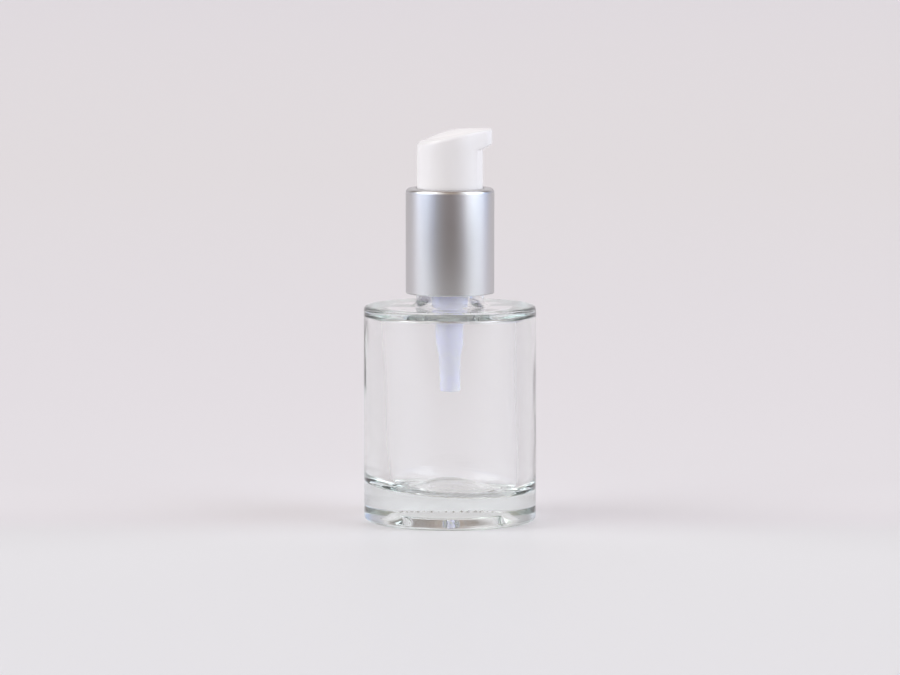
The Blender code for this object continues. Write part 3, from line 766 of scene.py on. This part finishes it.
def make_housing(finish):
    low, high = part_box("pump_housing")
    flange = high.x
    flange_top = high.z - NECK_STUB
    guide_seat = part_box("stem_guide")[0].z - SEAT_GAP
    bore_end = guide_seat - BORE_LENGTH
    ledge = bore_end - BORE_TO_LEDGE
    seat_top = ledge - CHAMBER_HEIGHT
    seat = seat_top - SEAT_CONE
    taper = seat + TAPER_RISE
    edge = PLASTIC_EDGE
    housing = turned(
        "pump_barrel",
        [
            (COUNTERBORE, high.z, edge),
            (BARREL_RADIUS, high.z, edge),
            (BARREL_RADIUS, flange_top, edge),
            (flange, flange_top, edge),
            (flange, flange_top - FLANGE_THICKNESS, edge),
            (BARREL_RADIUS, flange_top - FLANGE_THICKNESS, edge),
            (BARREL_RADIUS, bore_end, TAIL_EDGE),
            (LOWER_RADIUS, bore_end - BARREL_TAPER, TAIL_EDGE),
            (LOWER_RADIUS, taper, TAIL_EDGE),
            (TAIL_RADIUS, taper - TAPER_LENGTH, TAIL_EDGE),
            (TAIL_RADIUS - TAIL_DRAFT, low.z, TAIL_EDGE),
            (SOCKET_RADIUS, low.z, edge),
            (SOCKET_RADIUS, seat - INLET_LENGTH, edge),
            (INLET_RADIUS, seat - INLET_LENGTH, edge),
            (INLET_RADIUS, seat, edge),
            (CHAMBER_RADIUS, seat_top, edge),
            (CHAMBER_RADIUS, ledge, edge),
            (LOWER_BORE, ledge, edge),
            (LOWER_BORE, bore_end - BORE_STEP, edge),
            (PISTON_BORE, bore_end, edge),
            (PISTON_BORE, guide_seat, edge),
            (COUNTERBORE, guide_seat, edge),
        ],
        finish,
    )
    for i in range(BALL_STOP_COUNT):
        bm = bmesh.new()
        bmesh.ops.create_cube(bm, size=1.0)
        bmesh.ops.scale(bm, vec=BALL_STOP_SIZE, verts=bm.verts)
        outwards = CHAMBER_RADIUS + OVERRUN - BALL_STOP_SIZE[0] / 2
        bmesh.ops.translate(bm, vec=(outwards, 0.0, ledge - BALL_STOP_DROP), verts=bm.verts)
        turn = Matrix.Rotation(math.tau * (i + 0.5) / BALL_STOP_COUNT, 3, "Z")
        bmesh.ops.rotate(bm, cent=(0, 0, 0), matrix=turn, verts=bm.verts)
        combine(housing, add_object("ball stop", bm), "UNION")
    vent = bmesh.new()
    length = BARREL_RADIUS - PISTON_BORE + 2 * OVERRUN
    bmesh.ops.create_cone(
        vent,
        cap_ends=True,
        segments=SMALL_STEPS // 3,
        radius1=VENT_RADIUS,
        radius2=VENT_RADIUS,
        depth=length,
    )
    level = Matrix.Rotation(math.pi / 2, 3, "Y")
    bmesh.ops.rotate(vent, cent=(0, 0, 0), matrix=level, verts=vent.verts)
    centre = (-(PISTON_BORE + BARREL_RADIUS) / 2, 0.0, flange_top - FLANGE_THICKNESS - VENT_DROP)
    bmesh.ops.translate(vent, vec=centre, verts=vent.verts)
    combine(housing, add_object("vent", vent), "DIFFERENCE")
    return housing


def make_guide(finish):
    low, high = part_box("stem_guide")
    rim_z = high.z - GUIDE_RIM
    corners = [
        (GUIDE_BORE, low.z),
        (GUIDE_RADIUS, low.z),
        (GUIDE_RADIUS, rim_z),
        (high.x, rim_z),
        (high.x, high.z),
        (GUIDE_BORE, high.z),
    ]
    return turned("guide_ring", [(r, z, PLASTIC_EDGE) for r, z in corners], finish)


def make_stem(finish):
    low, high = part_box("pump_stem")
    shoulder = low.z + STEM_FLANGE
    corners = [
        (STEM_BORE, low.z),
        (high.x, low.z),
        (high.x, shoulder),
        (STEM_RADIUS, shoulder),
        (STEM_RADIUS, high.z),
        (STEM_BORE, high.z),
    ]
    return turned("stem", [(r, z, PLASTIC_EDGE) for r, z in corners], finish)


def make_rod(finish):
    low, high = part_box("valve_rod")
    head_z = low.z + ROD_SPIGOT_LENGTH
    head_top = head_z + ROD_HEAD
    edge = PLASTIC_EDGE
    rod = turned(
        "rod",
        [
            (0.0, low.z, 0),
            (ROD_SPIGOT, low.z, edge),
            (ROD_SPIGOT, head_z, 0),
            (high.x, head_z, edge),
            (high.x, head_top, edge),
            (0.0, head_top, 0),
        ],
        finish,
        ring=False,
    )
    height = high.z - head_top + OVERRUN
    for turn in range(2):
        bm = bmesh.new()
        bmesh.ops.create_cube(bm, size=1.0)
        bmesh.ops.scale(bm, vec=(2 * ROD_RADIUS, ROD_FIN, height), verts=bm.verts)
        bmesh.ops.translate(bm, vec=(0.0, 0.0, high.z - height / 2), verts=bm.verts)
        quarter = Matrix.Rotation(math.pi / 2 * turn, 3, "Z")
        bmesh.ops.rotate(bm, cent=(0, 0, 0), matrix=quarter, verts=bm.verts)
        combine(rod, add_object("rod fin", bm), "UNION")
    return rod


def make_piston(finish):
    low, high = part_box("piston")
    bore = ROD_RADIUS + PISTON_BORE_GAP
    tube = bore + PISTON_TUBE_WALL
    lip = high.x
    web_z = (low.z + high.z - PISTON_WEB) / 2
    web_top = web_z + PISTON_WEB
    low_z = low.z + PISTON_LIP_SETBACK
    high_z = high.z - PISTON_LIP_SETBACK
    edge = PLASTIC_EDGE / 2
    corners = [
        (bore, low.z),
        (tube, low.z),
        (tube, web_z),
        (lip - 2 * PISTON_LIP, web_z),
        (lip - PISTON_LIP, low_z),
        (lip, low_z),
        (lip - PISTON_LIP / 2, web_z),
        (lip - PISTON_LIP / 2, web_top),
        (lip, high_z),
        (lip - PISTON_LIP, high_z),
        (lip - 2 * PISTON_LIP, web_top),
        (tube, web_top),
        (tube, high.z),
        (bore, high.z),
    ]
    return turned("piston_seal", [(r, z, edge) for r, z in corners], finish)


def make_spring(finish):
    """Seven turns of round wire: one close turn, five open turns and one close turn."""
    low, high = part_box("return_spring")
    radius = high.x - SPRING_WIRE / 2
    end_pitch = SPRING_WIRE + SPRING_END_GAP
    rise = high.z - low.z - SPRING_WIRE
    open_turns = SPRING_TURNS - 2
    open_pitch = (rise - 2 * end_pitch) / open_turns
    bm = bmesh.new()
    bmesh.ops.create_circle(bm, cap_ends=False, segments=WIRE_STEPS, radius=SPRING_WIRE / 2)
    bmesh.ops.rotate(bm, cent=(0, 0, 0), matrix=Matrix.Rotation(math.pi / 2, 3, "X"), verts=bm.verts)
    bmesh.ops.translate(bm, vec=(radius, 0.0, low.z + SPRING_WIRE / 2), verts=bm.verts)
    geom = bm.edges[:]
    start = list(geom)
    for turns, pitch in ((1, end_pitch), (open_turns, open_pitch), (1, end_pitch)):
        result = bmesh.ops.spin(
            bm,
            geom=geom,
            cent=(0, 0, 0),
            axis=(0, 0, 1),
            dvec=(0, 0, pitch / ROUND_STEPS * 2),
            angle=math.tau * turns,
            steps=turns * ROUND_STEPS // 2,
        )
        geom = [item for item in result["geom_last"] if isinstance(item, bmesh.types.BMEdge)]
    bmesh.ops.contextual_create(bm, geom=start)
    bmesh.ops.contextual_create(bm, geom=geom)
    bmesh.ops.recalc_face_normals(bm, faces=bm.faces)
    return add_object("spring", bm, finish)


def press_spring(spring):
    """Gives the spring its own copy of its mesh."""
    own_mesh(spring)


def make_ball(finish):
    low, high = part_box("inlet_ball")
    bm = bmesh.new()
    bmesh.ops.create_uvsphere(
        bm, u_segments=SMALL_STEPS // 2, v_segments=SMALL_STEPS // 4, radius=(high.z - low.z) / 2
    )
    bmesh.ops.translate(bm, vec=(low + high) / 2, verts=bm.verts)
    return add_object("ball", bm, finish)


def plan_radius(angle, tip):
    """The head from above: a circle whose tangents run out to the square tip of the beak."""
    corner = math.hypot(tip, BEAK_HALF_WIDTH)
    tangent = math.atan2(BEAK_HALF_WIDTH, tip) + math.acos(HEAD_RADIUS / corner)
    turn = abs(math.remainder(angle, math.tau))
    if turn >= tangent:
        return HEAD_RADIUS
    side = math.cos(tangent - turn) / HEAD_RADIUS
    face = math.cos(turn) / tip
    return (side**BEAK_SHARPNESS + face**BEAK_SHARPNESS) ** (-1 / BEAK_SHARPNESS)


def top_level(x, y, tip):
    """Height of the top above the skirt's foot: level near the tip, falling behind, crowned across."""
    back = max(0.0, tip - HEAD_LEVEL_LENGTH - x)
    drop = HEAD_TOP_RADIUS - math.sqrt(HEAD_TOP_RADIUS**2 - back**2)
    return HEAD_HEIGHT - drop - HEAD_CROWN * (y / HEAD_RADIUS) ** 2


def head_column(angle, tip):
    """One column of the head's skin as (radius, height), from the skirt's foot to near the crown."""
    plan = plan_radius(angle, tip)
    behind = ((1 - math.cos(angle)) / 2) ** 2
    beak_z = HEAD_HEIGHT - BEAK_DEPTH - HEAD_BACK_ROUND / 2 * behind
    out = (plan - HEAD_RADIUS) / (tip - HEAD_RADIUS)
    under_z = beak_z + BEAK_UNDERSIDE_RISE * out
    edge = HEAD_EDGE_ROUND + (HEAD_BACK_ROUND - HEAD_EDGE_ROUND) * behind
    inset = plan - edge
    along, across = inset * math.cos(angle), inset * math.sin(angle)
    rim_z = top_level(along, across, tip) - edge
    turns = [math.pi / 2 * i / CORNER_STEPS for i in range(CORNER_STEPS + 1)]
    return [
        (HEAD_RADIUS - HEAD_FOOT_ROUND, 0.0),
        (HEAD_RADIUS, HEAD_FOOT_ROUND),
        (HEAD_RADIUS, beak_z - BEAK_LOWER_ROUND),
        (HEAD_RADIUS + (plan - HEAD_RADIUS) * BEAK_UNDERSIDE_SHARE, under_z),
        (plan, under_z + BEAK_LOWER_ROUND),
        *[(inset + edge * math.cos(t), rim_z + edge * math.sin(t)) for t in turns],
        *[(inset * s, top_level(along * s, across * s, tip)) for s in HEAD_TOP_SHARES],
    ]


def make_head(finish):
    """The pressed head: rings of points bridged into a skin, hollowed below, with its spout."""
    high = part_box("pump_head")[1]
    tip = high.x
    skirt_z = high.z - HEAD_HEIGHT
    # The columns crowd towards the beak, where the outline turns sharply.
    turns = [i / HEAD_COLUMNS for i in range(HEAD_COLUMNS)]
    angles = [math.tau * t - HEAD_CROWDING_SHARE * math.sin(math.tau * t) for t in turns]
    columns = [head_column(a, tip) for a in angles]
    bm = bmesh.new()
    loops = []
    for level in range(len(columns[0])):
        ring = bmesh.ops.create_circle(bm, cap_ends=False, segments=HEAD_COLUMNS, radius=1.0)["verts"]
        for vert, angle, column in zip(ring, angles, columns):
            r, z = column[level]
            vert.co = (r * math.cos(angle), r * math.sin(angle), skirt_z + z)
        loops.append(list({edge for vert in ring for edge in vert.link_edges}))
    for under, over in zip(loops, loops[1:]):
        bmesh.ops.bridge_loops(bm, edges=under + over)
    bmesh.ops.contextual_create(bm, geom=loops[0])
    crown = bm.verts.new((0.0, 0.0, skirt_z + top_level(0.0, 0.0, tip)))
    for edge in loops[-1]:
        bm.faces.new((*edge.verts, crown))
    bmesh.ops.recalc_face_normals(bm, faces=bm.faces)
    head = add_object("head", bm, finish)
    socket_bore = STEM_RADIUS + SOCKET_CLEARANCE
    socket_wall = socket_bore + SOCKET_WALL
    roof_z = high.z - HEAD_ROOF
    setback_z = roof_z - SOCKET_SETBACK
    channel_z = high.z - CHANNEL_DROP
    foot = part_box("pump_stem")[1].z - STEM_GRIP
    edge = PLASTIC_EDGE
    hollow = turned(
        "head hollow",
        [
            (0.0, skirt_z - OVERRUN, 0),
            (HEAD_RADIUS - HEAD_WALL, skirt_z - OVERRUN, 0),
            (HEAD_RADIUS - HEAD_WALL, setback_z, 3 * edge),
            (socket_wall, setback_z, 3 * edge),
            (socket_wall, foot, edge),
            (socket_bore, foot, edge),
            (socket_bore, setback_z, edge),
            (STEM_BORE, setback_z, 0),
            (STEM_BORE, channel_z, 0),
            (0.0, channel_z, 0),
        ],
        ring=False,
    )
    combine(head, hollow, "DIFFERENCE")
    orifice_z = high.z - ORIFICE_DROP
    start_z = channel_z - ORIFICE_RADIUS
    tilt = math.atan2(orifice_z - start_z, tip)
    length = math.hypot(tip, orifice_z - start_z) + OVERRUN
    channel = bmesh.new()
    bmesh.ops.create_cone(
        channel,
        cap_ends=True,
        segments=SMALL_STEPS // 2,
        radius1=ORIFICE_RADIUS,
        radius2=ORIFICE_RADIUS,
        depth=length,
    )
    bmesh.ops.translate(channel, vec=(0.0, 0.0, length / 2), verts=channel.verts)
    bmesh.ops.rotate(
        channel, cent=(0, 0, 0), matrix=Matrix.Rotation(math.pi / 2 - tilt, 3, "Y"), verts=channel.verts
    )
    bmesh.ops.translate(channel, vec=(0.0, 0.0, start_z), verts=channel.verts)
    combine(head, add_object("spout channel", channel), "DIFFERENCE")
    return head


def make_floor():
    """A wide pale floor whose tone changes with its depth behind the bottle, with painted shade and a
    painted lighter band near the bottle's foot.
    """
    bm = bmesh.new()
    bmesh.ops.create_circle(bm, cap_ends=True, segments=ROUND_STEPS, radius=FLOOR_RADIUS)
    bmesh.ops.translate(bm, vec=(0.0, 0.0, -FLOOR_DROP), verts=bm.verts)
    made, tree, shader = fresh_material("studio floor", (0.8, 0.8, 0.8), FLOOR_ROUGHNESS)
    shader.inputs["Specular IOR Level"].default_value = FLOOR_SHINE
    place = add_node(tree, "TexCoord").outputs["Object"]
    depth = add_node(tree, "SeparateXYZ", {"Vector": place}).outputs["Y"]
    first, last = FLOOR_TONES_WITH_PAINTED_SHADE[0][0], FLOOR_TONES_WITH_PAINTED_SHADE[-1][0]
    near = add_node(
        tree, "MapRange", {"Value": depth, "From Min": first, "From Max": last}, clamp=True
    ).outputs["Result"]
    stops = [((y - first) / (last - first), tone) for y, tone in FLOOR_TONES_WITH_PAINTED_SHADE]
    # The ramp paints shade and light onto the floor in bands near the bottle's foot.
    tone = ramp_node(tree, near, stops, "LINEAR")
    tree.links.new(tone, shader.inputs["Base Color"])
    floor = add_object("floor", bm, made)


def tent_blend(tree, rise, start, full, under, over):
    """One tone of the tent giving way to another as the angle above the floor grows."""
    share = add_node(
        tree,
        "MapRange",
        {"Value": rise, "From Min": math.radians(start), "From Max": math.radians(full)},
        interpolation_type="SMOOTHSTEP",
    ).outputs["Result"]
    return add_node(
        tree, "Mix", {"Factor": share, "A": under, "B": over}, data_type="RGBA"
    ).outputs["Result"]


def make_world():
    """A light tent: bright to the left and right, dark on the camera's side, with a dim ceiling."""
    world = bpy.data.worlds.new("light tent")
    bpy.context.scene.world = world
    world.use_nodes = True
    tree = world.node_tree
    back = tree.nodes["Background"]
    way = add_node(tree, "SeparateXYZ", {"Vector": add_node(tree, "TexCoord").outputs["Generated"]})
    x, y, z = (way.outputs[k] for k in "XYZ")
    azimuth = math_node(tree, "ARCTAN2", x, math_node(tree, "MULTIPLY", y, -1.0))
    around = math_node(tree, "ADD", math_node(tree, "DIVIDE", azimuth, math.tau), 0.5)
    walls, slopes = (
        ramp_node(tree, around, [((degrees + 180) / 360, tone) for degrees, tone in stops])
        for stops in (TENT_WALLS, TENT_SLOPES)
    )
    rise = math_node(tree, "ARCSINE", z)
    lower = tent_blend(tree, rise, SLOPES_FROM, SLOPES_FULL, walls, slopes)
    tent = tent_blend(tree, rise, CEILING_FROM, CEILING_FULL, lower, (*CEILING_TONE, 1.0))
    tree.links.new(tent, back.inputs["Color"])


def make_camera():
    camera = bpy.data.cameras.new("camera")
    camera.sensor_width = SENSOR_WIDTH
    camera.lens = PHOTO_FOCAL * SENSOR_WIDTH / PHOTO_WIDTH
    made = bpy.data.objects.new("camera", camera)
    bpy.context.scene.collection.objects.link(made)
    made.location = (0.0, -CAMERA_DISTANCE, CAMERA_HEIGHT)
    look = Vector((0.0, 0.0, CAMERA_AIM)) - made.location
    made.rotation_euler = look.to_track_quat("-Z", "Y").to_euler()
    bpy.context.scene.camera = made


def main():
    make_camera()
    make_world()
    make_floor()
    grain = make_grain_group()
    drift = make_drift_group()
    glass = make_glass()
    aluminium = make_aluminium(grain, drift)
    white = make_white(grain, drift)
    natural = make_natural(grain, drift)
    foam = make_foam(grain, drift)
    steel = make_steel(grain, drift)
    stand_for(make_bottle(glass), "glass_bottle")
    stand_for(make_cap(white), "threaded_cap")
    stand_for(make_shell(aluminium), "collar_shell")
    stand_for(make_gasket(foam), "neck_gasket")
    stand_for(make_housing(natural), "pump_housing")
    stand_for(make_guide(natural), "stem_guide")
    stand_for(make_stem(natural), "pump_stem")
    stand_for(make_rod(natural), "valve_rod")
    stand_for(make_piston(natural), "piston")
    spring = make_spring(steel)
    stand_for(spring, "return_spring")
    press_spring(spring)
    stand_for(make_ball(steel), "inlet_ball")
    stand_for(make_head(white), "pump_head")
    bpy.context.scene.view_settings.view_transform = "Standard"
    bpy.context.scene.cycles.blur_glossy = 0.0
    bpy.context.scene.cycles.glossy_bounces = GLOSSY_BOUNCES
    bpy.context.scene.cycles.max_bounces = MOST_BOUNCES
    bpy.context.scene.cycles.transmission_bounces = MOST_BOUNCES


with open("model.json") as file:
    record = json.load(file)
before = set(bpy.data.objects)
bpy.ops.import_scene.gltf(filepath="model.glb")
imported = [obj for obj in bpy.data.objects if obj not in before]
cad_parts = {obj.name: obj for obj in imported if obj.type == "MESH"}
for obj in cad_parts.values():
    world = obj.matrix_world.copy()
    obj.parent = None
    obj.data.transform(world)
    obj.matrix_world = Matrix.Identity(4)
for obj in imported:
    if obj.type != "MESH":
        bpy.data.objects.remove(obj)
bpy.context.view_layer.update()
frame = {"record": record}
main()
